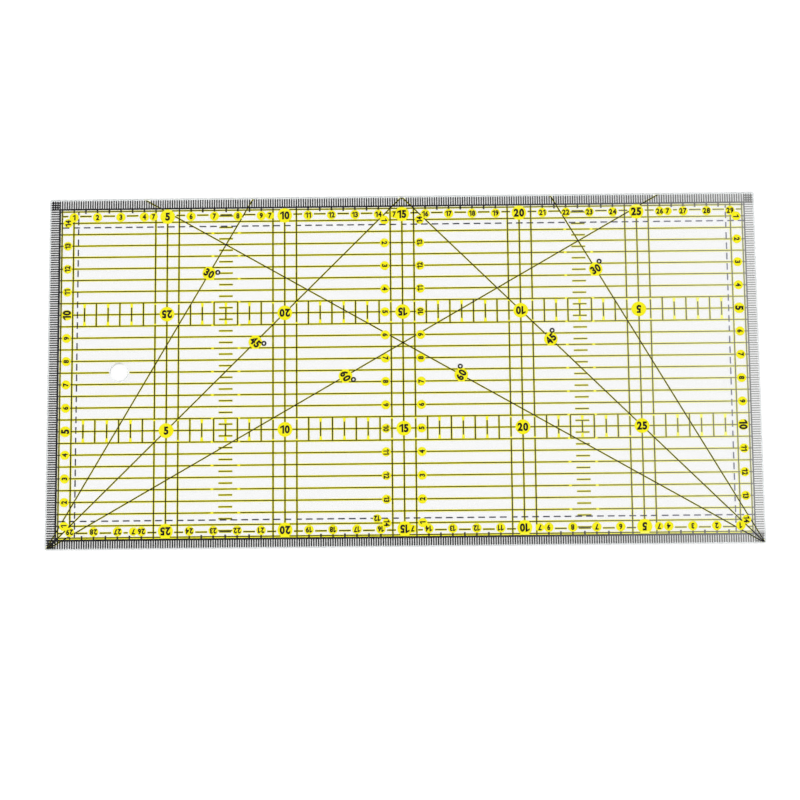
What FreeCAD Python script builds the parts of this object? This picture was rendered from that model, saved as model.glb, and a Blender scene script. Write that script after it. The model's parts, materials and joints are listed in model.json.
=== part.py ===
import FreeCAD, Part
import math
import os

# Quilting ruler, 300 x 150 mm: one clear acrylic sheet, printed on its underside in two inks.
# Black goes on first, against the sheet, and yellow goes over it, so a black line seen through
# the sheet runs down the middle of a wider yellow one. Each group of marks is a node of its own.
#
# All plane geometry is in the ruler's own scale: x mm from its left edge and y mm from its front
# edge. place() then moves a finished node so that the sheet's centre is over the origin.

# ---- driving dimensions, mm
SHEET_LENGTH = 300.0
SHEET_WIDTH = 150.0
SHEET_THICKNESS = 3.0
SHEET_CHAMFER = 0.3
SHEET_CORNER_RADIUS = 0.5

HOLE_RADIUS = 3.75
HOLE_X = 30.0
HOLE_Y = SHEET_WIDTH / 2
HOLE_CHAMFER = 0.2
HOLE_CLEARANCE = 0.6

INK = 0.03  # thickness of one printed film

FRAME = 4.0  # the millimetre scale's base line, in from the edge
SECOND_LINE = 5.0
GRID_PITCH = 5.0
CENTIMETRE = 10.0
SEAM_NARROW = 7.0
SEAM_WIDE = 12.0

TICK_WIDTHS = {"front": 0.56, "back": 0.52, "left": 0.50, "right": 0.30}
FRAME_WIDTHS = {"front": 0.82, "back": 0.66, "left": 0.74, "right": 0.54}
STUB_WIDTH = 0.65
STUB_END = 5.8
ACROSS_WIDTH = 0.42
UPRIGHT_WIDTH = 0.50
ANGLE_WIDTH = 0.44
SEAM_WIDTH = 0.48
SHORTEST_MARK = 0.4
SMALLEST_MARK_AREA = 0.28  # a crumb smaller than this doesn't print
YELLOW_WIDTH = 0.92
ANGLE_YELLOW_WIDTH = 0.66
FRAME_YELLOW_WIDTH = 0.76

DASH_LENGTH = 2.8
DASH_PITCH = 4.5
DASH_FIRST_X = 6.6
DASH_FIRST_Y = 5.5
DASHES_ALONG = 65
DASHES_UP = 32

UPRIGHT_GROUPS = (50.0, 100.0, 150.0, 200.0, 250.0)  # three lines, 5 mm apart, about each
BANDS = (50.0, 100.0)  # the two ladder bands' centre lines
BAND_HALF = 5.0
SHORT_TICK_HALF = 3.0
FLARE_WIDTH = 1.35
DASH_COLUMNS = (75.0, 225.0)
COLUMN_DASH_HALF = 2.9
BREAK_FROM_COLUMN = 5.6
BREAK_LENGTH = 1.2
BREAK_AT_BAND = 0.96

ANGLES = (30, 45, 60)  # degrees from the short side
ANGLE_LABEL_HEIGHTS = {30: 117.5, 45: 87.5, 60: 72.5}
DEGREE_SIGN_AT = (3.0, 2.15)
DEGREE_SIGN_RADIUS = 0.78
DEGREE_SIGN_STROKE = 0.62

ROW_INSET = 7.5  # centre of the number rows and columns, in from the frame's edges
SMALL_DISC = 2.0
COLUMN_DISC = 1.95
LARGE_COLUMN_DISC = 2.3
LARGE_DISC = 3.15
ANGLE_DISC = 2.9
SEAM_LABEL_DISC = 1.8
SMALL_NUMERAL = (2.3, 0.42)  # height, stroke
LARGE_NUMERAL = (3.3, 0.66)
NUMERAL_ASPECT = 0.7
NUMERAL_GAP = 0.12  # between two figures, as a share of their height
FLAG_FOOT = 0.72  # how far up the 1 its flag comes down to, as a share of its height
NECK_TURN = -40  # degrees round the bowl of the 2 where its neck leaves
FOUR_BAR = 0.3  # how far up the 4 its bar runs, as a share of its height
FOUR_STEM = 0.68  # how far along the 4 its stem stands, as a share of its width
FIVE_STEM_FOOT = 0.45  # how far up the 5 its stem starts, as a share of its height
SEVEN_FOOT = 0.3  # how far along the 7 its foot stands, as a share of its width
SIX_TIP = 0.75  # how far along the 6 the tip of its tail is, as a share of its width

YELLOW_Z = 0.0
BLACK_Z = YELLOW_Z + INK
SHEET_Z = BLACK_Z + INK
MIDDLE_X = SHEET_LENGTH / 2
MIDDLE_Y = SHEET_WIDTH / 2
MARGIN = SHEET_CHAMFER  # nothing is printed on the chamfer


# ---- plane shapes
def bar(x0, y0, x1, y1):
    """A rectangle between two opposite corners."""
    corners = ((x0, y0), (x1, y0), (x1, y1), (x0, y1), (x0, y0))
    return Part.Face(Part.makePolygon([FreeCAD.Vector(x, y, 0) for x, y in corners]))


def across(y, x0, x1, width):
    """A line along the sheet, centred on y."""
    return bar(x0, y - width / 2, x1, y + width / 2)


def upright(x, y0, y1, width):
    """A line across the sheet's width, centred on x."""
    return bar(x - width / 2, y0, x + width / 2, y1)


def slanted(x0, y0, x1, y1, width):
    """A straight line of a given width between two points."""
    length = math.hypot(x1 - x0, y1 - y0)
    heading = math.degrees(math.atan2(y1 - y0, x1 - x0))
    face = bar(0, -width / 2, length, width / 2)
    face.rotate(FreeCAD.Vector(0, 0, 0), FreeCAD.Vector(0, 0, 1), heading)
    face.translate(FreeCAD.Vector(x0, y0, 0))
    return face


def round_face(x, y, radius):
    """A full disc."""
    circle = Part.makeCircle(radius, FreeCAD.Vector(x, y, 0))
    return Part.Face(Part.Wire(circle))


def arc_band(x, y, radius, width, start, end):
    """A stroke of a given width along an arc, anticlockwise from start to end in degrees. It faces
    up, as every other plane shape does, so that joined() can merge them."""
    centre = FreeCAD.Vector(x, y, 0)
    up = FreeCAD.Vector(0, 0, 1)
    outer = Part.makeCircle(radius + width / 2, centre, up, start, end)
    inner = Part.makeCircle(radius - width / 2, centre, up, start, end)
    first = Part.makeLine(inner.valueAt(inner.FirstParameter), outer.valueAt(outer.FirstParameter))
    last = Part.makeLine(outer.valueAt(outer.LastParameter), inner.valueAt(inner.LastParameter))
    face = Part.Face(Part.Wire(Part.__sortEdges__([inner, outer, first, last])))
    return face if face.normalAt(0, 0).z > 0 else face.reversed()


def ring(x, y, radius, width):
    """A closed circular stroke."""
    return round_face(x, y, radius + width / 2).cut(round_face(x, y, radius - width / 2)).Faces[0]


def joined(faces):
    """The union of overlapping faces, as plain faces with no seams."""
    if len(faces) == 1:
        return list(faces)
    fused = faces[0].multiFuse(faces[1:])
    return Part.makeShell(fused.Faces).removeSplitter().Faces


def less(faces, tools):
    """Each face with every tool that reaches it cut away, less the crumbs too small to print."""
    left = []
    for face in faces:
        near = [tool for tool in tools if face.BoundBox.intersect(tool.BoundBox)]
        left += face.cut(near).Faces if near else [face]
    return [face for face in left if face.Area > SMALLEST_MARK_AREA]


def stretches(start, end, gaps):
    """The stretches from start to end that no gap covers."""
    left, at = [], start
    for low, high in sorted(gaps):
        if low > at:
            left.append((at, min(low, end)))
        at = max(at, high)
    if at < end:
        left.append((at, end))
    return [(a, b) for a, b in left if b - a > SHORTEST_MARK]


# ---- discs that carry the numbers: (group, x, y, radius)
def number_discs():
    """Every printed disc. The rows count centimetres from the left at the back and from the right
    at the front, so the ruler reads the same from both long sides; the columns do likewise."""
    discs = []
    for n in range(1, 30):
        radius = LARGE_DISC if n % 5 == 0 else SMALL_DISC
        discs.append(("back", CENTIMETRE * n, SHEET_WIDTH - ROW_INSET, radius))
        discs.append(("front", SHEET_LENGTH - CENTIMETRE * n, ROW_INSET, radius))
    for n in range(1, 15):
        radius = LARGE_COLUMN_DISC if n % 5 == 0 else COLUMN_DISC
        discs.append(("left", ROW_INSET, CENTIMETRE * n, radius))
        discs.append(("right", SHEET_LENGTH - ROW_INSET, SHEET_WIDTH - CENTIMETRE * n, radius))
        discs.append(("middle", MIDDLE_X - ROW_INSET, SHEET_WIDTH - CENTIMETRE * n, COLUMN_DISC))
        discs.append(("middle", MIDDLE_X + ROW_INSET, CENTIMETRE * n, COLUMN_DISC))
    for y in BANDS:
        discs += [("band", x, y, LARGE_DISC) for x in UPRIGHT_GROUPS]
    for angle in ANGLES:
        for side in (-1, 1):
            discs.append(("angle", *angle_label_place(angle, side), ANGLE_DISC))
    discs += [("seam", x, y, SEAM_LABEL_DISC) for x, y, _ in seam_labels()]
    return discs


def angle_label_place(angle, side):
    """The point on an angle line where its label's disc sits. side is -1 on the left."""
    height = ANGLE_LABEL_HEIGHTS[angle]
    reach = height * math.tan(math.radians(angle))
    return (reach if side < 0 else SHEET_LENGTH - reach), height


def seam_labels():
    """(x, y, text) of the labels on the two seam lines, those at the front read from the back."""
    places = (44.0, 93.7, 146.8, 263.4)
    labels = [(x, SHEET_WIDTH - ROW_INSET, "7") for x in places]
    labels += [(SHEET_LENGTH - x, ROW_INSET, "7") for x in places]
    labels.append((138.5, SEAM_WIDE, "12"))
    return labels


DISCS = number_discs()


def gaps_along_x(y, clearance=0.0):
    """Where a line along the sheet at y passes under discs or the hole."""
    gaps = []
    for _, cx, cy, radius in DISCS:
        if abs(y - cy) < radius:
            half = math.sqrt(radius**2 - (y - cy) ** 2) + clearance
            gaps.append((cx - half, cx + half))
    if abs(y - HOLE_Y) < HOLE_RADIUS:
        reach = HOLE_RADIUS + HOLE_CLEARANCE
        gaps.append((HOLE_X - reach, HOLE_X + reach))
    return gaps


def gaps_along_y(x, clearance=0.0):
    """Where a line across the sheet's width at x passes under discs."""
    gaps = []
    for _, cx, cy, radius in DISCS:
        if abs(x - cx) < radius:
            half = math.sqrt(radius**2 - (x - cx) ** 2) + clearance
            gaps.append((cy - half, cy + half))
    return gaps


# ---- the sheet
def acrylic_sheet():
    """The clear sheet: sawn to size, its polished edges broken by a small chamfer, one hang hole."""
    sheet = Part.makeBox(SHEET_LENGTH, SHEET_WIDTH, SHEET_THICKNESS, FreeCAD.Vector(0, 0, SHEET_Z))
    corners = [e for e in sheet.Edges if abs(e.Vertexes[0].Z - e.Vertexes[1].Z) > SHEET_THICKNESS / 2]
    sheet = sheet.makeFillet(SHEET_CORNER_RADIUS, corners)
    rims = [e for e in sheet.Edges if e.BoundBox.ZLength < SHEET_THICKNESS / 2]
    sheet = sheet.makeChamfer(SHEET_CHAMFER, rims)
    hole = Part.makeCylinder(HOLE_RADIUS, SHEET_THICKNESS, FreeCAD.Vector(HOLE_X, HOLE_Y, SHEET_Z))
    sheet = sheet.cut(hole)
    circles = [e for e in sheet.Edges if isinstance(e.Curve, Part.Circle)]
    mouths = [e for e in circles if e.Curve.Radius == HOLE_RADIUS]
    return [sheet.makeChamfer(HOLE_CHAMFER, mouths)]


# ---- lines of the plan
ACROSS_LINES = [GRID_PITCH * n for n in range(1, 30)]
EDGE_UPRIGHTS = [SECOND_LINE, CENTIMETRE, SHEET_LENGTH - CENTIMETRE, SHEET_LENGTH - SECOND_LINE]
PAIR_UPRIGHTS = [c + side * BAND_HALF for c in UPRIGHT_GROUPS for side in (-1, 1)]
UPRIGHT_LINES = EDGE_UPRIGHTS + PAIR_UPRIGHTS + list(UPRIGHT_GROUPS)
FREE_FIVES = [x for x in range(15, 290, 5) if x not in UPRIGHT_LINES]
# where the grid starts and ends, inside the frame's lines
NEAR_X = FRAME + FRAME_WIDTHS["left"] / 2
FAR_X = SHEET_LENGTH - FRAME - FRAME_WIDTHS["right"] / 2
NEAR_Y = FRAME + FRAME_WIDTHS["front"] / 2
FAR_Y = SHEET_WIDTH - FRAME - FRAME_WIDTHS["back"] / 2


def breaks_on_across(y):
    """Lines on odd multiples of 5 mm are broken, in black only, either side of each dash column."""
    if round(y / GRID_PITCH) % 2 == 0 or not CENTIMETRE < y < SHEET_WIDTH - CENTIMETRE:
        return []
    centres = [x + side * BREAK_FROM_COLUMN for x in DASH_COLUMNS for side in (-1, 1)]
    return [(c - BREAK_LENGTH / 2, c + BREAK_LENGTH / 2) for c in centres]


def breaks_on_upright(x):
    """The outer lines of each group of three are broken, in black only, just inside each band."""
    if x not in PAIR_UPRIGHTS:
        return []
    low = [(y - BAND_HALF, y - BAND_HALF + BREAK_AT_BAND) for y in BANDS]
    high = [(y + BAND_HALF - BREAK_AT_BAND, y + BAND_HALF) for y in BANDS]
    return low + high


def angle_strips(angle, width):
    """Both lines at one angle, from the front corners to the back edge, broken by the discs."""
    lean = math.radians(angle)
    length = SHEET_WIDTH / math.cos(lean)
    printed = bar(MARGIN, MARGIN, SHEET_LENGTH - MARGIN, SHEET_WIDTH - MARGIN)
    strips = []
    for side in (-1, 1):
        corner_x = 0.0 if side < 0 else SHEET_LENGTH
        step_x, step_y = -side * math.sin(lean), math.cos(lean)
        gaps = []
        for _, cx, cy, radius in DISCS:
            along = (cx - corner_x) * step_x + cy * step_y
            off = (cx - corner_x) * step_y - cy * step_x
            if abs(off) < radius:
                half = math.sqrt(radius**2 - off**2)
                gaps.append((along - half, along + half))
        for a, b in stretches(0.0, length + 1.0, gaps):
            ends = (corner_x + a * step_x, a * step_y, corner_x + b * step_x, b * step_y)
            strips += slanted(*ends, width).common(printed).Faces
    return strips


def edge_scale(side):
    """One side's millimetre ticks, joined by their base line. The long sides own the corners."""
    span = SHEET_WIDTH if side in ("front", "back") else SHEET_LENGTH
    near_side = side in ("front", "left")
    edge = MARGIN if near_side else span - MARGIN
    base = FRAME if near_side else span - FRAME
    low, high = min(edge, base), max(edge, base)
    tick = TICK_WIDTHS[side]
    marks = []
    if side in ("front", "back"):
        marks.append(across(base, MARGIN, SHEET_LENGTH - MARGIN, FRAME_WIDTHS[side]))
        marks += [upright(x, low, high, tick) for x in range(1, int(SHEET_LENGTH))]
        for n in range(1, int(FRAME)):
            y = n if near_side else SHEET_WIDTH - n
            marks.append(across(y, MARGIN, FRAME, tick))
            marks.append(across(y, SHEET_LENGTH - FRAME, SHEET_LENGTH - MARGIN, tick))
    else:
        marks.append(upright(base, NEAR_Y, FAR_Y, FRAME_WIDTHS[side]))
        marks += [across(y, low, high, tick) for y in range(5, int(SHEET_WIDTH - FRAME))]
    return joined(marks)


def grid_lines():
    """The black lines every 5 mm along the sheet, the uprights, and the stubs off the scales."""
    marks = []
    for y in ACROSS_LINES:
        gaps = gaps_along_x(y) + breaks_on_across(y)
        marks += [across(y, a, b, ACROSS_WIDTH) for a, b in stretches(NEAR_X, FAR_X, gaps)]
    for x in UPRIGHT_LINES:
        gaps = gaps_along_y(x) + breaks_on_upright(x)
        marks += [upright(x, a, b, UPRIGHT_WIDTH) for a, b in stretches(NEAR_Y, FAR_Y, gaps)]
    for x in FREE_FIVES:
        for low, high in ((NEAR_Y, STUB_END), (SHEET_WIDTH - STUB_END, FAR_Y)):
            marks += [upright(x, a, b, STUB_WIDTH) for a, b in stretches(low, high, gaps_along_y(x))]
    return marks


def band_ticks(y, width):
    """The ladder's rungs in one band: the full width at each centimetre, shorter between them."""
    marks = []
    for x in FREE_FIVES:
        half = BAND_HALF if x % CENTIMETRE == 0 else SHORT_TICK_HALF
        marks.append(upright(x, y - half, y + half, width))
    return marks


def flares(y):
    """Yellow wedges that carry on each short rung and widen to the band's edges."""
    faces = []
    near, far = YELLOW_WIDTH / 2, FLARE_WIDTH / 2
    for x in FREE_FIVES:
        if x % CENTIMETRE == 0:
            continue
        for side in (-1, 1):
            root, edge = y + side * SHORT_TICK_HALF, y + side * BAND_HALF
            points = [(x - near, root), (x + near, root), (x + far, edge), (x - far, edge)]
            outline = [FreeCAD.Vector(px, py, 0) for px, py in points + points[:1]]
            faces.append(Part.Face(Part.makePolygon(outline)))
    return faces


def column_dashes(width):
    """Short dashes midway between the grid lines, in two columns."""
    places = [GRID_PITCH * (n + 0.5) for n in range(1, 29)]
    reach = COLUMN_DASH_HALF
    return [across(y, x - reach, x + reach, width) for x in DASH_COLUMNS for y in places]


def narrow_seam_lines(width):
    """The 7 mm seam line at the front and back, broken around the numbers."""
    marks = []
    for y in (SEAM_NARROW, SHEET_WIDTH - SEAM_NARROW):
        gaps = gaps_along_x(y, HOLE_CLEARANCE)
        start = SECOND_LINE + UPRIGHT_WIDTH / 2
        marks += [across(y, a, b, width) for a, b in stretches(start, SHEET_LENGTH - start, gaps)]
    return marks


def wide_seam_dashes():
    """The dashed 12 mm seam line on all four sides."""
    half = DASH_LENGTH / 2
    marks = []
    for y in (SEAM_WIDE, SHEET_WIDTH - SEAM_WIDE):
        for n in range(DASHES_ALONG):
            x = DASH_FIRST_X + DASH_PITCH * n
            gaps = gaps_along_x(y)
            marks += [across(y, a, b, SEAM_WIDTH) for a, b in stretches(x - half, x + half, gaps)]
    for x in (SEAM_WIDE, SHEET_LENGTH - SEAM_WIDE):
        for n in range(DASHES_UP):
            y = DASH_FIRST_Y + DASH_PITCH * n
            low, high = max(y - half, NEAR_Y), min(y + half, FAR_Y)
            marks += [upright(x, a, b, SEAM_WIDTH) for a, b in stretches(low, high, gaps_along_y(x))]
    return marks


# ---- numerals
FIGURES = {}


def figure(digit, height, stroke):
    """One figure drawn with a pen of constant width, its lower left corner at the origin."""
    key = (digit, height, stroke)
    if key in FIGURES:
        return FIGURES[key]
    width = NUMERAL_ASPECT * height
    half = stroke / 2
    left, right, top = half, width - half, height - half
    mid = width / 2
    bowl = (width - stroke) / 2
    small_bowl = (height / 2 - stroke) / 2 + half / 2
    upper_y, lower_y = top - small_bowl, half + small_bowl
    head_y, foot_y = top - bowl, half + bowl
    if digit == "0":
        strokes = [arc_band(mid, head_y, bowl, stroke, 0, 180)]
        strokes.append(arc_band(mid, foot_y, bowl, stroke, 180, 360))
        strokes += [upright(x, foot_y, head_y, stroke) for x in (left, right)]
    elif digit == "1":
        strokes = [upright(mid + half, 0, height, stroke)]
        strokes.append(slanted(mid, top, left, FLAG_FOOT * height, stroke))
    elif digit == "2":
        neck = math.radians(NECK_TURN)
        neck_x, neck_y = mid + bowl * math.cos(neck), head_y + bowl * math.sin(neck)
        strokes = [arc_band(mid, head_y, bowl, stroke, NECK_TURN, 170), across(half, 0, width, stroke)]
        strokes.append(slanted(neck_x, neck_y, left, half, stroke))
    elif digit == "3":
        strokes = [arc_band(mid, upper_y, small_bowl, stroke, -90, 150)]
        strokes.append(arc_band(mid, lower_y, small_bowl, stroke, -150, 90))
    elif digit == "4":
        stem, level = FOUR_STEM * width, FOUR_BAR * height
        strokes = [across(level, 0, width, stroke), upright(stem, 0, height, stroke)]
        strokes.append(slanted(stem, height - stroke, left, level, stroke))
    elif digit == "5":
        strokes = [across(top, left, width - half / 2, stroke)]
        strokes.append(upright(left + half, FIVE_STEM_FOOT * height, height, stroke))
        strokes.append(arc_band(mid, foot_y, bowl, stroke, -150, 135))
    elif digit == "7":
        strokes = [across(top, 0, width, stroke), slanted(right, top, SEVEN_FOOT * width, 0, stroke)]
    elif digit == "8":
        strokes = [ring(mid, upper_y, small_bowl, stroke), ring(mid, lower_y, small_bowl, stroke)]
    else:
        strokes = [ring(mid, foot_y, bowl, stroke), slanted(left, foot_y, SIX_TIP * width, top, stroke)]
    face = joined(strokes)[0]
    if digit == "9":
        face.rotate(FreeCAD.Vector(mid, height / 2, 0), FreeCAD.Vector(0, 0, 1), 180)
    FIGURES[key] = face
    return face


def numeral(text, x, y, turn, size):
    """A number centred on a point and turned anticlockwise by some degrees."""
    height, stroke = size
    advance = (NUMERAL_ASPECT + NUMERAL_GAP) * height
    total = advance * len(text) - NUMERAL_GAP * height
    faces = []
    for i, digit in enumerate(text):
        face = figure(digit, height, stroke).copy()
        face.translate(FreeCAD.Vector(x - total / 2 + i * advance, y - height / 2, 0))
        face.rotate(FreeCAD.Vector(x, y, 0), FreeCAD.Vector(0, 0, 1), turn)
        faces.append(face)
    return faces


def row_numerals(side):
    """The centimetre numbers along one long side."""
    faces = []
    for n in range(1, 30):
        size = LARGE_NUMERAL if n % 5 == 0 else SMALL_NUMERAL
        if side == "back":
            faces += numeral(str(n), CENTIMETRE * n, SHEET_WIDTH - ROW_INSET, 0, size)
        else:
            faces += numeral(str(n), SHEET_LENGTH - CENTIMETRE * n, ROW_INSET, 180, size)
    return faces


def column_numerals(side):
    """The centimetre numbers down one short side, or the two middle columns."""
    faces = []
    for n in range(1, 15):
        size = LARGE_NUMERAL if n % 5 == 0 and side != "middle" else SMALL_NUMERAL
        up, down = CENTIMETRE * n, SHEET_WIDTH - CENTIMETRE * n
        if side == "left":
            faces += numeral(str(n), ROW_INSET, up, 90, size)
        elif side == "right":
            faces += numeral(str(n), SHEET_LENGTH - ROW_INSET, down, -90, size)
        else:
            faces += numeral(str(n), MIDDLE_X - ROW_INSET, down, -90, size)
            faces += numeral(str(n), MIDDLE_X + ROW_INSET, up, 90, size)
    return faces


def band_numerals():
    """5 to 25 in the two bands, each band read from its own long side."""
    faces = []
    for x in UPRIGHT_GROUPS:
        faces += numeral(str(int(x / CENTIMETRE)), x, BANDS[0], 0, LARGE_NUMERAL)
        faces += numeral(str(int((SHEET_LENGTH - x) / CENTIMETRE)), x, BANDS[1], 180, LARGE_NUMERAL)
    return faces


def angle_numerals():
    """30, 45 and 60 with their degree signs, each square to its own line."""
    faces = []
    for angle in ANGLES:
        for side in (-1, 1):
            x, y = angle_label_place(angle, side)
            turn = side * angle
            faces += numeral(str(angle), x, y, turn, LARGE_NUMERAL)
            right, up = DEGREE_SIGN_AT
            sign = ring(x + right, y + up, DEGREE_SIGN_RADIUS, DEGREE_SIGN_STROKE)
            sign.rotate(FreeCAD.Vector(x, y, 0), FreeCAD.Vector(0, 0, 1), turn)
            faces.append(sign)
    return faces


def seam_numerals():
    """The small 7 and 12 on the seam lines."""
    faces = []
    for x, y, text in seam_labels():
        faces += numeral(text, x, y, 0 if y > MIDDLE_Y else 180, SMALL_NUMERAL)
    return faces


# ---- from plane marks to nodes
def place(solids):
    """Moves a node so that the sheet's centre stands over the origin."""
    node = Part.makeCompound(solids)
    node.translate(FreeCAD.Vector(-MIDDLE_X, -MIDDLE_Y, 0))
    return node


def film(faces, z):
    """A printed film: the faces given their thickness, from height z."""
    solids = []
    for face in faces:
        lifted = face.copy()
        lifted.translate(FreeCAD.Vector(0, 0, z))
        solids.append(lifted.extrude(FreeCAD.Vector(0, 0, INK)))
    return solids


def write(name, solids):
    """Saves one node under its name."""
    place(solids).exportStep("parts/" + name + ".step")
    print(name, len(solids), "solids", flush=True)


def black_nodes():
    """Every node of the first ink. Angle lines stay whole and the grid is broken around them."""
    angle_marks = {}
    for angle in ANGLES:
        crossed = [s for marks in angle_marks.values() for s in marks]
        angle_marks[angle] = less(angle_strips(angle, ANGLE_WIDTH), crossed)
    slants = [s for marks in angle_marks.values() for s in marks]
    signs = angle_numerals()
    grid_marks = grid_lines()
    narrow = narrow_seam_lines(SEAM_WIDTH)
    stops = slants + signs
    nodes = {f"angle_lines_{angle}": marks for angle, marks in angle_marks.items()}
    for side in ("front", "back", "left", "right"):
        nodes[f"edge_scale_{side}"] = less(edge_scale(side), slants)
    nodes["grid_lines"] = less(joined(grid_marks), stops)
    nodes["column_dashes"] = less(column_dashes(ACROSS_WIDTH), stops + grid_marks)
    stops = stops + grid_marks + nodes["column_dashes"]
    for name, y in zip(("front", "back"), BANDS):
        nodes[f"band_ticks_{name}"] = less(band_ticks(y, UPRIGHT_WIDTH), stops)
    nodes["seam_line_7mm"] = less(narrow, stops)
    nodes["seam_dashes_12mm"] = less(wide_seam_dashes(), stops + narrow)
    nodes["numerals_front"] = row_numerals("front")
    nodes["numerals_back"] = row_numerals("back")
    nodes["numerals_left"] = column_numerals("left")
    nodes["numerals_right"] = column_numerals("right")
    nodes["numerals_middle"] = column_numerals("middle")
    nodes["numerals_bands"] = band_numerals()
    nodes["numerals_angles"] = signs
    nodes["numerals_seams"] = seam_numerals()
    return nodes


def yellow_nodes():
    """Every node of the second ink: the frame strips and discs whole, the rest broken around them.
    The front strip fills the gap between the two frame lines; the others only back the second."""
    outer, middle = FRAME - FRAME_WIDTHS["front"] / 2, SECOND_LINE - FRAME_YELLOW_WIDTH / 2
    inner = SECOND_LINE + FRAME_YELLOW_WIDTH / 2
    length, width = SHEET_LENGTH, SHEET_WIDTH
    strips = {
        "front": bar(middle, outer, length - middle, inner),
        "back": bar(middle, width - inner, length - middle, width - middle),
        "left": bar(middle, inner, inner, width - inner),
        "right": bar(length - inner, inner, length - middle, width - inner),
    }
    nodes = {f"yellow_frame_{side}": [strip] for side, strip in strips.items()}
    taken = list(strips.values())
    for group in ("band", "angle", "back", "front", "left", "right", "middle", "seam"):
        faces = [round_face(x, y, radius) for g, x, y, radius in DISCS if g == group]
        nodes[f"yellow_discs_{group}"] = less(faces, taken)
        taken += faces
    hole = round_face(HOLE_X, HOLE_Y, HOLE_RADIUS + HOLE_CLEARANCE)
    for angle in ANGLES:
        lines = less(angle_strips(angle, ANGLE_YELLOW_WIDTH), taken)
        nodes[f"yellow_angle_lines_{angle}"] = lines
        taken += lines
    inner_uprights = [x for x in UPRIGHT_LINES if inner < x < length - inner]
    lines = [across(y, inner, length - inner, YELLOW_WIDTH) for y in ACROSS_LINES[1:-1]]
    lines += [upright(x, inner, width - inner, YELLOW_WIDTH) for x in inner_uprights]
    nodes["yellow_grid_lines"] = less(joined(lines), taken + [hole])
    taken += lines
    dashes = column_dashes(YELLOW_WIDTH)
    nodes["yellow_column_dashes"] = less(dashes, taken)
    taken += dashes
    rungs = []
    for y in BANDS:
        rungs += joined(band_ticks(y, YELLOW_WIDTH) + flares(y))
    nodes["yellow_band_ticks"] = less(rungs, taken)
    nodes["yellow_seam_lines"] = less(narrow_seam_lines(YELLOW_WIDTH), taken)
    return nodes


def main():
    os.makedirs("parts", exist_ok=True)
    write("acrylic_sheet", acrylic_sheet())
    for name, faces in black_nodes().items():
        write(name, film(faces, BLACK_Z))
    for name, faces in yellow_nodes().items():
        write(name, film(faces, YELLOW_Z))


main()
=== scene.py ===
import json
import math

import bpy
import numpy as np
from mathutils import Matrix, Vector


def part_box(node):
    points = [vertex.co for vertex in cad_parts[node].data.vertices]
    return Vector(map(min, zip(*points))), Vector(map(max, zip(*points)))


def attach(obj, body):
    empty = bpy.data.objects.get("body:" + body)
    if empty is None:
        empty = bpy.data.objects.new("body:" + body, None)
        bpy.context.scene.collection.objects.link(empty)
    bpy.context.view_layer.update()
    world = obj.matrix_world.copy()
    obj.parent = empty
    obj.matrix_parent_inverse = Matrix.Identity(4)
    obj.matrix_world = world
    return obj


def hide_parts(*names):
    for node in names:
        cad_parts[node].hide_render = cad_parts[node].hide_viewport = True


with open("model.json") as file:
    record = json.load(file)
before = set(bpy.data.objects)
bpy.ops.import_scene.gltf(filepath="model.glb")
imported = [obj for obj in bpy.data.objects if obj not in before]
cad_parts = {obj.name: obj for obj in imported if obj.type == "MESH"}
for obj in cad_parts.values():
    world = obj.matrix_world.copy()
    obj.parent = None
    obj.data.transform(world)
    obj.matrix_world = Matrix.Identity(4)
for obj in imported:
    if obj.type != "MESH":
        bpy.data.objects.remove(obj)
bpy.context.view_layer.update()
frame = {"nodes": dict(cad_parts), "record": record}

# ---- Clear sheet
# One sheet of cast acrylic, cut to size, its edges smoothed and lightly broken, with a hang hole
# drilled near one end. The faces keep the gloss of the casting; the edges stay half frosted, with
# faint cutting marks.
sheet_low, sheet_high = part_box("acrylic_sheet")
FILM_CLEARANCE = 0.00001
SHEET_UNDERSIDE = sheet_low.z + FILM_CLEARANCE
EDGE_BREAK = 0.0003
CORNER_RADIUS = 0.0005
HOLE_BREAK = 0.0002
SHARP_FROM = math.radians(32)
hole_mount = next(m for m in frame["record"]["mounts"] if m["name"] == "hang_hole")
hole_centre = np.array(hole_mount["pos_m"][:2])
HOLE_RADIUS = hole_mount["dims"]["r_mm"] / 1000


def sheet_outline(inset, corner_steps=6, long_steps=120, short_steps=60):
    """The sheet's outline moved in by inset, anticlockwise: four straight runs cut into equal
    steps, joined by quarter circles whose radius is the corner's less the inset."""
    middle = np.array([sheet_high.x - CORNER_RADIUS, sheet_high.y - CORNER_RADIUS])
    turns = np.linspace(0, math.pi / 2, corner_steps + 1)
    corners = []
    for quarter, sign in enumerate(((1, 1), (-1, 1), (-1, -1), (1, -1))):
        angle = turns + quarter * math.pi / 2
        arc = np.stack([np.cos(angle), np.sin(angle)], 1) * (CORNER_RADIUS - inset)
        corners.append(arc + middle * sign)
    runs = []
    for i, corner in enumerate(corners):
        steps = long_steps if i % 2 == 0 else short_steps
        share = np.linspace(0, 1, steps + 1)[1:-1, None]
        following = corners[(i + 1) % 4]
        runs += [corner, corner[-1] * (1 - share) + following[0] * share]
    return np.concatenate(runs)


def hole_outline(widened):
    """The hole's rim, widened by a little: one point in line with each point of the sheet's
    outline."""
    way = sheet_outline(0.0) - hole_centre
    way /= np.linalg.norm(way, axis=1)[:, None]
    return hole_centre + way * (HOLE_RADIUS + widened)


def joined_rings(count, around):
    """The quads that join rings of equal length, every ring to the next and the last to the first,
    as rows of four point numbers."""
    i, j = np.meshgrid(np.arange(count), np.arange(around), indexing="ij")
    ring, next_ring = i * around, (i + 1) % count * around
    next_j = (j + 1) % around
    corners = (ring + j, ring + next_j, next_ring + next_j, next_ring + j)
    return np.stack(corners, -1).reshape(-1, 4)


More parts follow.
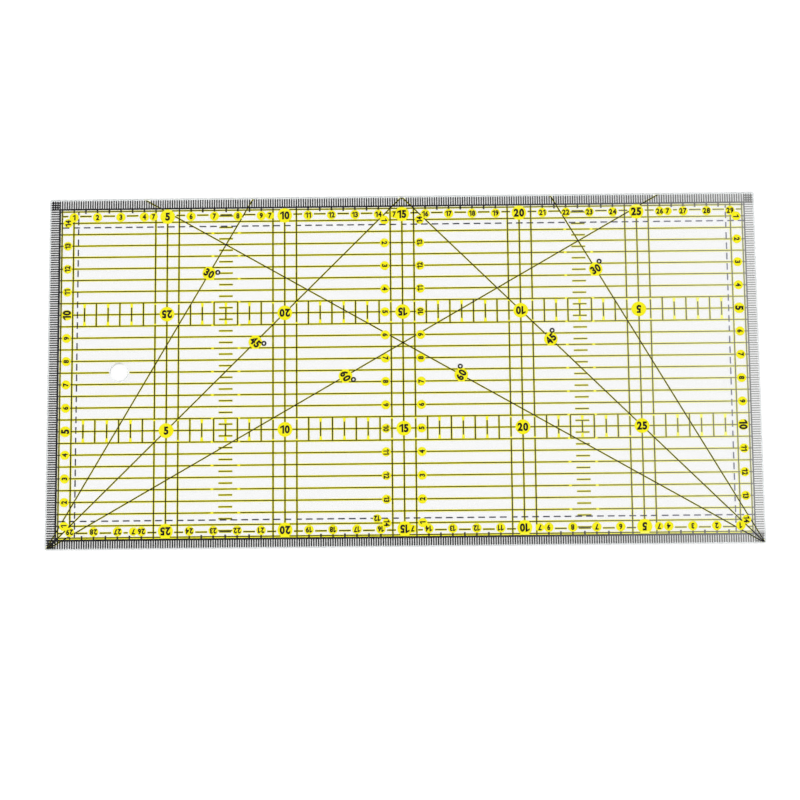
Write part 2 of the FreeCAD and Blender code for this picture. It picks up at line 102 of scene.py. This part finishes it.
def closed_shell(name, rings, heights):
    """A closed shell from rings of equal length, each at its own height."""
    around = len(rings[0])
    levels = [np.column_stack([ring, np.full(around, z)]) for ring, z in zip(rings, heights)]
    mesh = bpy.data.meshes.new(name)
    faces = joined_rings(len(rings), around)
    mesh.from_pydata(np.concatenate(levels).tolist(), [], faces.tolist())
    mesh.update()
    return mesh


def new_material(name):
    """A material with an empty node tree, and that tree's nodes and links."""
    material = bpy.data.materials.new(name)
    material.use_nodes = True
    material.node_tree.nodes.clear()
    return material, material.node_tree.nodes, material.node_tree.links


def object_coordinates(nodes, links, stretch=(1, 1, 1)):
    """Object coordinates, stretched by three factors, for a pattern to read."""
    place = nodes.new("ShaderNodeTexCoord")
    mapping = nodes.new("ShaderNodeMapping")
    mapping.inputs["Scale"].default_value = stretch
    links.new(place.outputs["Object"], mapping.inputs["Vector"])
    return mapping.outputs["Vector"]


def noise(nodes, links, vector, scale, detail=3.0, roughness=0.5):
    """A noise pattern's value on the given coordinates; scale is in cycles per metre."""
    pattern = nodes.new("ShaderNodeTexNoise")
    pattern.inputs["Scale"].default_value = scale
    pattern.inputs["Detail"].default_value = detail
    pattern.inputs["Roughness"].default_value = roughness
    links.new(vector, pattern.inputs["Vector"])
    return pattern.outputs["Fac"]


def between(nodes, links, value, low, high, to_low=0.0, to_high=1.0):
    """The value carried from the range low..high onto to_low..to_high, and held there."""
    ramp = nodes.new("ShaderNodeMapRange")
    ramp.inputs["From Min"].default_value = low
    ramp.inputs["From Max"].default_value = high
    ramp.inputs["To Min"].default_value = to_low
    ramp.inputs["To Max"].default_value = to_high
    links.new(value, ramp.inputs["Value"])
    return ramp.outputs["Result"]


def combined(nodes, links, operation, first, second):
    """Two values put together by one arithmetic operation; the second may be a plain number."""
    arithmetic = nodes.new("ShaderNodeMath")
    arithmetic.operation = operation
    links.new(first, arithmetic.inputs[0])
    if isinstance(second, float):
        arithmetic.inputs[1].default_value = second
    else:
        links.new(second, arithmetic.inputs[1])
    return arithmetic.outputs[0]


def raised(nodes, links, height, distance, strength):
    """A bump normal from a height pattern."""
    bump = nodes.new("ShaderNodeBump")
    bump.inputs["Distance"].default_value = distance
    bump.inputs["Strength"].default_value = strength
    links.new(height, bump.inputs["Height"])
    return bump.outputs["Normal"]


def finish_clear(nodes, links, glass, loss):
    """Sight meets the acrylic as glass, and light on its way to the print and the floor passes
    straight through it, less a small loss."""
    path = nodes.new("ShaderNodeLightPath")
    clear = nodes.new("ShaderNodeBsdfTransparent")
    clear.inputs["Color"].default_value = (loss, loss, loss, 1)
    seen = glass.outputs["BSDF"]
    for kind in ("Is Diffuse Ray", "Is Shadow Ray"):
        mix = nodes.new("ShaderNodeMixShader")
        links.new(path.outputs[kind], mix.inputs["Fac"])
        links.new(seen, mix.inputs[1])
        links.new(clear.outputs["BSDF"], mix.inputs[2])
        seen = mix.outputs["Shader"]
    output = nodes.new("ShaderNodeOutputMaterial")
    links.new(seen, output.inputs["Surface"])


ACRYLIC_IOR = 1.49
WAVES_PER_METRE = 22.0
RUBS_PER_METRE = 9.0
RUB_STRETCH = (9.0, 420.0, 1.0)
RUB_RELIEF = 0.015
FACE_BUMP = 0.00002


def cast_face():
    """Polished cast face: clear, with the casting's slow waviness and a few hairline rubs."""
    material, nodes, links = new_material("cast_acrylic_face")
    shader = nodes.new("ShaderNodeBsdfPrincipled")
    shader.inputs["Base Color"].default_value = (0.985, 0.99, 0.992, 1)
    shader.inputs["Roughness"].default_value = 0.0
    shader.inputs["IOR"].default_value = ACRYLIC_IOR
    shader.inputs["Transmission Weight"].default_value = 1.0
    flat = object_coordinates(nodes, links)
    waves = noise(nodes, links, flat, WAVES_PER_METRE, detail=1.0)
    drawn_out = object_coordinates(nodes, links, RUB_STRETCH)
    rubs = noise(nodes, links, drawn_out, RUBS_PER_METRE, detail=2.0)
    hairlines = between(nodes, links, rubs, 0.70, 0.74, 0.0, RUB_RELIEF)
    height = combined(nodes, links, "ADD", waves, hairlines)
    links.new(raised(nodes, links, height, FACE_BUMP, 0.6), shader.inputs["Normal"])
    finish_clear(nodes, links, shader, 0.97)
    return material


EDGE_CLEARNESS = 0.55
EDGE_ROUGHNESS = (0.15, 0.35)
MARKS_PER_METRE = 2600.0
MARK_STRETCH = (1.0, 1.0, 0.02)
PATCHES_PER_METRE = 60.0
EDGE_BUMP = 0.00006


def cut_edge():
    """Cut edge, smoothed but half frosted, with fine upright cutting marks and a deeper tint."""
    material, nodes, links = new_material("polished_acrylic_edge")
    shader = nodes.new("ShaderNodeBsdfPrincipled")
    shader.inputs["Base Color"].default_value = (0.88, 0.92, 0.93, 1)
    shader.inputs["IOR"].default_value = ACRYLIC_IOR
    shader.inputs["Transmission Weight"].default_value = EDGE_CLEARNESS
    upright = object_coordinates(nodes, links, MARK_STRETCH)
    marks = noise(nodes, links, upright, MARKS_PER_METRE, detail=2.0)
    patches = noise(nodes, links, object_coordinates(nodes, links), PATCHES_PER_METRE)
    links.new(between(nodes, links, patches, 0.3, 0.7, *EDGE_ROUGHNESS), shader.inputs["Roughness"])
    links.new(raised(nodes, links, marks, EDGE_BUMP, 0.7), shader.inputs["Normal"])
    finish_clear(nodes, links, shader, 0.90)
    return material


rim, broken_rim = hole_outline(0.0), hole_outline(HOLE_BREAK)
edge, broken_edge = sheet_outline(0.0), sheet_outline(EDGE_BREAK)
sheet_rings = (
    (broken_edge, SHEET_UNDERSIDE),
    (edge, SHEET_UNDERSIDE + EDGE_BREAK),
    (edge, sheet_high.z - EDGE_BREAK),
    (broken_edge, sheet_high.z),
    (broken_rim, sheet_high.z),
    (rim, sheet_high.z - HOLE_BREAK),
    (rim, SHEET_UNDERSIDE + HOLE_BREAK),
    (broken_rim, SHEET_UNDERSIDE),
)
FACE_BANDS = (3, 7)
sheet_mesh = closed_shell("clear_sheet", *zip(*sheet_rings))
sheet_mesh.materials.append(cast_face())
sheet_mesh.materials.append(cut_edge())
band_of_face = np.repeat(np.arange(len(sheet_rings)), len(edge))
is_face = np.isin(band_of_face, FACE_BANDS)
sheet_mesh.polygons.foreach_set("material_index", np.where(is_face, 0, 1).astype(np.int32))
sheet_mesh.polygons.foreach_set("use_smooth", np.ones(len(band_of_face), bool))
sheet_mesh.set_sharp_from_angle(angle=SHARP_FROM)
clear_sheet = bpy.data.objects.new("clear_sheet", sheet_mesh)
bpy.context.scene.collection.objects.link(clear_sheet)
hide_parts("acrylic_sheet")
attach(clear_sheet, "root")


# ---- Black print
# The first ink, black, screen-printed on the underside of the sheet: scales, grid, bands, seam
# and angle lines. Thin lines are made paler towards the right-hand end: a painted glare, standing
# in for glare off the sheet.
CLOUDS_PER_METRE = 240.0
GRAINS_PER_METRE = 5200.0
INK_SPECULAR = 0.08
INK_BUMP = 0.00001


def printed_ink(name, deep, thin, painted_glare=0.0, roughness=(0.34, 0.5)):
    """Screen ink: its colour wanders between a deep and a thin film, with the grain of the mesh it
    was pushed through. The painted glare argument is a painted glare: how much paler the ink is
    made, by the square of the way from the middle to the right-hand end. It is bonded to the sheet,
    so it hardly mirrors."""
    material, nodes, links = new_material(name)
    shader = nodes.new("ShaderNodeBsdfPrincipled")
    shader.inputs["Specular IOR Level"].default_value = INK_SPECULAR
    plain = object_coordinates(nodes, links)
    cloudy = noise(nodes, links, plain, CLOUDS_PER_METRE, detail=4.0)
    grain = noise(nodes, links, plain, GRAINS_PER_METRE, detail=2.0)
    weight = combined(nodes, links, "MULTIPLY", between(nodes, links, cloudy, 0.35, 0.7), grain)
    # Painted glare: the ink is made paler towards the right-hand end, by the square of the way from
    # the middle.
    if painted_glare:
        split = nodes.new("ShaderNodeSeparateXYZ")
        links.new(plain, split.inputs["Vector"])
        far = between(nodes, links, split.outputs["X"], 0.0, sheet_high.x)
        squared = combined(nodes, links, "POWER", far, 2.0)
        painted_glare_paling = combined(nodes, links, "MULTIPLY", squared, painted_glare)
        weight = combined(nodes, links, "ADD", weight, painted_glare_paling)
    colour = nodes.new("ShaderNodeMix")
    colour.data_type = "RGBA"
    colour.clamp_factor = False
    colour.inputs["A"].default_value = (*deep, 1)
    colour.inputs["B"].default_value = (*thin, 1)
    links.new(weight, colour.inputs["Factor"])
    links.new(colour.outputs["Result"], shader.inputs["Base Color"])
    links.new(between(nodes, links, cloudy, 0.3, 0.7, *roughness), shader.inputs["Roughness"])
    links.new(raised(nodes, links, grain, INK_BUMP, 0.5), shader.inputs["Normal"])
    output = nodes.new("ShaderNodeOutputMaterial")
    links.new(shader.outputs["BSDF"], output.inputs["Surface"])
    return material


GREY_BLACK, THIN_GREY_BLACK = (0.008, 0.008, 0.009), (0.045, 0.045, 0.045)
FULL_BLACK, THIN_FULL_BLACK = (0.006, 0.006, 0.007), (0.03, 0.03, 0.03)
BLUE_BLACK, THIN_BLUE_BLACK = (0.010, 0.012, 0.030), (0.055, 0.058, 0.085)
# The line and dash inks carry a painted glare, made paler towards the right-hand end; the
# angle-line ink has none.
black_line_ink_and_painted_glare = printed_ink("black_line_ink_and_painted_glare", GREY_BLACK, THIN_GREY_BLACK, painted_glare=6.5)
full_black_ink = printed_ink("full_black_ink", FULL_BLACK, THIN_FULL_BLACK)
blue_dash_ink_and_painted_glare = printed_ink("blue_black_ink_and_painted_glare", BLUE_BLACK, THIN_BLUE_BLACK, painted_glare=5.0)
for name, node in frame["nodes"].items():
    if not name.startswith(("acrylic", "numerals", "yellow")):
        node.data.materials.clear()
        ink = full_black_ink if name.startswith("angle_lines") else black_line_ink_and_painted_glare
        node.data.materials.append(blue_dash_ink_and_painted_glare if name == "seam_dashes_12mm" else ink)


# ---- Yellow print
# The second ink, yellow, pushed over the black: wider lines behind the grid, bands and angle lines,
# and the discs that carry the numbers. It is a little translucent, so its film looks cloudy.
YELLOW, THIN_YELLOW = (0.88, 0.80, 0.006), (0.94, 0.90, 0.02)
LINE_YELLOW, THIN_LINE_YELLOW = (0.92, 0.86, 0.01), (0.93, 0.88, 0.06)
YELLOW_ROUGHNESS = (0.3, 0.45)
yellow_ink = printed_ink("yellow_ink", YELLOW, THIN_YELLOW, 0.0, YELLOW_ROUGHNESS)
# The yellow lines carry a painted glare, made paler towards the right-hand end; the discs have
# none.
yellow_line_ink_and_painted_glare = printed_ink(
    "yellow_line_ink_and_painted_glare", LINE_YELLOW, THIN_LINE_YELLOW, 5.0, YELLOW_ROUGHNESS
)
for name, node in frame["nodes"].items():
    if name.startswith("yellow"):
        node.data.materials.clear()
        node.data.materials.append(yellow_ink if "discs" in name else yellow_line_ink_and_painted_glare)


# ---- Numbers
# The centimetre numbers, angles with their degree signs, and seam labels, printed with the black
# lines in a bold grotesque. Each row or column is one piece, as it is one patch of the screen.
CENTIMETRE = 0.01
ROW_INSET = 0.0075
SMALL_HEIGHT = 0.0024
LARGE_HEIGHT = 0.0035
NARROWED = 0.9
SMALL_BOLD = 0.045
LARGE_BOLD = 0.05
FIGURE_GAP = 0.07
FLAG_REACH = 0.3
FLAG_TIP_LOW = 0.60
FLAG_TIP_HIGH = 0.80
FLAG_ROOT = 0.75
STEM_SHARE_AT_TOP = 0.3
THIN_STEM = 0.14
SMALL_CURVE_STEPS = 3
LARGE_CURVE_STEPS = 4
LENGTH = sheet_high.x - sheet_low.x
WIDTH = sheet_high.y - sheet_low.y
film_low, film_high = (corner.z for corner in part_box("numerals_front"))
figures = {}


def figure_one(stem):
    """The figure 1 as (points, faces): an upright stem of the given width with a slanting flag, its
    outline taken round once and given thickness."""
    side = FLAG_REACH + stem
    top = FLAG_REACH + STEM_SHARE_AT_TOP * stem
    outline = [(FLAG_REACH, 0.0), (side, 0.0), (side, 1.0), (top, 1.0)]
    outline += [(0.0, FLAG_TIP_HIGH), (0.0, FLAG_TIP_LOW), (FLAG_REACH, FLAG_ROOT)]
    count = len(outline)
    points = np.concatenate([np.column_stack([outline, np.full(count, z)]) for z in (-0.5, 0.5)])
    faces = [(6, 0, 1, 2), (2, 3, 6), (3, 4, 5, 6)]
    upper = [tuple(i + count for i in face) for face in faces]
    lower = [face[::-1] for face in faces]
    walls = [(i, (i + 1) % count, (i + 1) % count + count, i + count) for i in range(count)]
    return points, lower + upper + walls


def figure(digit, bold, steps):
    """One figure as (points, faces, width) at a height of 1: the outline thickened by bold, made a
    mesh, and moved so that its foot and its left side are at 0."""
    key = (digit, bold)
    if key in figures:
        return figures[key]
    if digit == "1":
        points, faces = figure_one(THIN_STEM + 2 * bold)
    else:
        outline = bpy.data.curves.new("figure", "FONT")
        outline.body = digit
        outline.offset = bold
        outline.extrude = 0.5
        outline.resolution_u = steps
        shape = bpy.data.objects.new("figure", outline)
        mesh = bpy.data.meshes.new_from_object(shape)
        points = np.empty(len(mesh.vertices) * 3)
        mesh.vertices.foreach_get("co", points)
        points = points.reshape(-1, 3)
        points[:, :2] -= points[:, :2].min(0)
        points[:, :2] /= points[:, 1].max()
        faces = [tuple(face.vertices) for face in mesh.polygons]
        bpy.data.objects.remove(shape)
        bpy.data.curves.remove(outline)
        bpy.data.meshes.remove(mesh)
    figures[key] = (points, faces, points[:, 0].max())
    return figures[key]


def number(text, x, y, turn, height, bold):
    """A number as (points, faces): narrowed figures in a row, centred on x, y, turned anticlockwise
    by turn degrees about that point, and as thick as the film."""
    steps = LARGE_CURVE_STEPS if height > SMALL_HEIGHT else SMALL_CURVE_STEPS
    parts = [figure(digit, bold, steps) for digit in text]
    total = sum(part[2] for part in parts) + FIGURE_GAP * (len(parts) - 1)
    at, start, placed, faces = -total / 2, 0, [], []
    for points, figure_faces, width in parts:
        flat = (points[:, :2] + (at, -0.5)) * (height * NARROWED, height)
        placed.append(np.column_stack([flat, points[:, 2]]))
        faces += [tuple(i + start for i in face) for face in figure_faces]
        at += width + FIGURE_GAP
        start += len(points)
    placed = np.concatenate(placed)
    angle = math.radians(turn)
    cosine, sine = math.cos(angle), math.sin(angle)
    turned = placed[:, :2] @ np.array([[cosine, sine], [-sine, cosine]])
    thick = film_low + (placed[:, 2] + 0.5) * (film_high - film_low)
    return np.column_stack([turned + (x, y), thick]), faces


def ring_sign(x, y, radius, stroke, steps=28):
    """A degree sign as (points, faces): a flat ring with a square section."""
    angle = np.linspace(0, 2 * math.pi, steps, endpoint=False)
    way = np.column_stack([np.cos(angle), np.sin(angle)])
    inner, outer = radius - stroke / 2, radius + stroke / 2
    section = ((inner, film_low), (outer, film_low), (outer, film_high), (inner, film_high))
    rings = [np.column_stack([way * r + (x, y), np.full(steps, z)]) for r, z in section]
    faces = joined_rings(len(section), steps)[:, ::-1]
    return np.concatenate(rings), [tuple(face) for face in faces.tolist()]


def printed_numbers(name, marks, node_name):
    """One piece from a list of (points, faces)."""
    points, faces, start = [], [], 0
    for mark_points, mark_faces in marks:
        points.append(mark_points)
        faces += [tuple(i + start for i in face) for face in mark_faces]
        start += len(mark_points)
    mesh = bpy.data.meshes.new(name)
    mesh.from_pydata(np.concatenate(points).tolist(), [], faces)
    mesh.materials.append(full_black_ink)
    piece = bpy.data.objects.new(name, mesh)
    bpy.context.scene.collection.objects.link(piece)
    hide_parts(node_name)
    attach(piece, "root")


def edge_number(n, x, y, turn, large):
    """A centimetre number, bold and larger at each fifth where large allows it."""
    if n % 5 == 0 and large:
        return number(str(n), x, y, turn, LARGE_HEIGHT, LARGE_BOLD)
    return number(str(n), x, y, turn, SMALL_HEIGHT, SMALL_BOLD)


left, right = sheet_low.x, sheet_high.x
front, back = sheet_low.y, sheet_high.y
along = range(1, round(LENGTH / CENTIMETRE))
up = range(1, round(WIDTH / CENTIMETRE))
back_row = [edge_number(n, left + n * CENTIMETRE, back - ROW_INSET, 0, True) for n in along]
front_row = [edge_number(n, right - n * CENTIMETRE, front + ROW_INSET, 180, True) for n in along]
left_column = [edge_number(n, left + ROW_INSET, front + n * CENTIMETRE, 90, True) for n in up]
right_column = [edge_number(n, right - ROW_INSET, back - n * CENTIMETRE, -90, True) for n in up]
middle_columns = [edge_number(n, -ROW_INSET, back - n * CENTIMETRE, -90, False) for n in up]
middle_columns += [edge_number(n, ROW_INSET, front + n * CENTIMETRE, 90, False) for n in up]
printed_numbers("numbers_back_row", back_row, "numerals_back")
printed_numbers("numbers_front_row", front_row, "numerals_front")
printed_numbers("numbers_left_column", left_column, "numerals_left")
printed_numbers("numbers_right_column", right_column, "numerals_right")
printed_numbers("numbers_middle_columns", middle_columns, "numerals_middle")

BAND_HEIGHTS = (0.05, 0.10)
BAND_STEP = 5
whole_length = round(LENGTH / CENTIMETRE)
lower_y, upper_y = (front + height for height in BAND_HEIGHTS)
band_numbers = []
for n in range(BAND_STEP, whole_length, BAND_STEP):
    x = left + n * CENTIMETRE
    from_right = str(whole_length - n)
    band_numbers.append(number(str(n), x, lower_y, 0, LARGE_HEIGHT, LARGE_BOLD))
    band_numbers.append(number(from_right, x, upper_y, 180, LARGE_HEIGHT, LARGE_BOLD))
printed_numbers("numbers_in_bands", band_numbers, "numerals_bands")

ANGLE_LABELS = {30: 0.1175, 45: 0.0875, 60: 0.0725}
DEGREE_SIGN_AT = (0.0030, 0.00215)
DEGREE_SIGN_RADIUS = 0.00078
DEGREE_SIGN_STROKE = 0.00062
angle_numbers = []
for angle, height in ANGLE_LABELS.items():
    lean = math.radians(angle)
    reach = height * math.tan(lean)
    for side, x in ((-1, left + reach), (1, right - reach)):
        y, turn = front + height, side * angle
        aside, above = DEGREE_SIGN_AT
        cosine, sine = math.cos(math.radians(turn)), math.sin(math.radians(turn))
        sign_x, sign_y = x + aside * cosine - above * sine, y + aside * sine + above * cosine
        angle_numbers.append(number(str(angle), x, y, turn, LARGE_HEIGHT, LARGE_BOLD))
        angle_numbers.append(ring_sign(sign_x, sign_y, DEGREE_SIGN_RADIUS, DEGREE_SIGN_STROKE))
printed_numbers("numbers_on_angle_lines", angle_numbers, "numerals_angles")

SEVEN_PLACES = (0.0440, 0.0937, 0.1468, 0.2634)
TWELVE_PLACE = (0.1385, 0.0120)
seam_numbers = []
for x in SEVEN_PLACES:
    seam_numbers.append(number("7", left + x, back - ROW_INSET, 0, SMALL_HEIGHT, SMALL_BOLD))
    seam_numbers.append(number("7", right - x, front + ROW_INSET, 180, SMALL_HEIGHT, SMALL_BOLD))
twelve_x, twelve_y = left + TWELVE_PLACE[0], front + TWELVE_PLACE[1]
seam_numbers.append(number("12", twelve_x, twelve_y, 180, SMALL_HEIGHT, SMALL_BOLD))
printed_numbers("numbers_on_seam_lines", seam_numbers, "numerals_seams")


# ---- Floor, light and camera
# A pale matt floor, and a camera almost overhead. Soft even light comes from all round. The ceiling
# right above is dark and the horizon is dim, so that the sheet's polished face doesn't mirror them.
FLOOR_REACH = 3.0
FLOOR_DROP = 0.00005
FLOOR_GREY = 0.88
corner_signs = np.array([(-1, -1), (1, -1), (1, 1), (-1, 1)])
floor_points = np.column_stack([corner_signs * FLOOR_REACH, np.full(4, -FLOOR_DROP)])
floor_mesh = bpy.data.meshes.new("floor")
floor_mesh.from_pydata(floor_points.tolist(), [], [(0, 1, 2, 3)])
floor = bpy.data.objects.new("floor", floor_mesh)
bpy.context.scene.collection.objects.link(floor)
floor_material, nodes, links = new_material("pale_floor")
shader = nodes.new("ShaderNodeBsdfPrincipled")
shader.inputs["Base Color"].default_value = (FLOOR_GREY, FLOOR_GREY, FLOOR_GREY, 1)
shader.inputs["Roughness"].default_value = 0.9
shader.inputs["Specular IOR Level"].default_value = 0.1
output = nodes.new("ShaderNodeOutputMaterial")
links.new(shader.outputs["BSDF"], output.inputs["Surface"])
floor_mesh.materials.append(floor_material)

SKY_LIGHT = 1.62
DIM_HORIZON = 0.4
HORIZON_BAND = 0.5
DARK_CEILING = 0.06
CEILING_FROM = 0.86
CEILING_TO = 0.93
world = bpy.data.worlds.new("studio_sky")
world.use_nodes = True
nodes, links = world.node_tree.nodes, world.node_tree.links
nodes.clear()
way = nodes.new("ShaderNodeTexCoord")
split = nodes.new("ShaderNodeSeparateXYZ")
links.new(way.outputs["Generated"], split.inputs["Vector"])
dome = between(nodes, links, split.outputs["Z"], CEILING_FROM, CEILING_TO, SKY_LIGHT, DARK_CEILING)
background = nodes.new("ShaderNodeBackground")
background.inputs["Color"].default_value = (1, 1, 1, 1)
low_sky = between(nodes, links, split.outputs["Z"], 0.0, HORIZON_BAND, DIM_HORIZON)
links.new(combined(nodes, links, "MULTIPLY", dome, low_sky), background.inputs["Strength"])
output = nodes.new("ShaderNodeOutputWorld")
links.new(background.outputs["Background"], output.inputs["Surface"])
bpy.context.scene.world = world

AZIMUTH = math.radians(-87.6264)
ELEVATION = math.radians(80.4248)
ROLL = math.radians(-2.9617)
DISTANCE = 0.9595
AIM = Vector((-0.00152, -0.01284, 0.0))
SENSOR_WIDTH = 36.0
FOCAL_LENGTH = SENSOR_WIDTH * 2.84529
back_way = Vector((math.cos(AZIMUTH), math.sin(AZIMUTH), math.tan(ELEVATION))).normalized()
level_right = Vector((0, 0, 1)).cross(back_way).normalized()
level_up = back_way.cross(level_right)
camera_right = level_right * math.cos(ROLL) + level_up * math.sin(ROLL)
camera_up = level_up * math.cos(ROLL) - level_right * math.sin(ROLL)
camera_data = bpy.data.cameras.new("camera")
camera_data.sensor_width = SENSOR_WIDTH
camera_data.lens = FOCAL_LENGTH
camera = bpy.data.objects.new("camera", camera_data)
camera.rotation_mode = "QUATERNION"
camera_axes = Matrix((camera_right, camera_up, back_way)).transposed()
camera.rotation_quaternion = camera_axes.to_quaternion()
camera.location = AIM + back_way * DISTANCE
bpy.context.scene.collection.objects.link(camera)
bpy.context.scene.camera = camera
bpy.context.scene.view_settings.view_transform = "Standard"
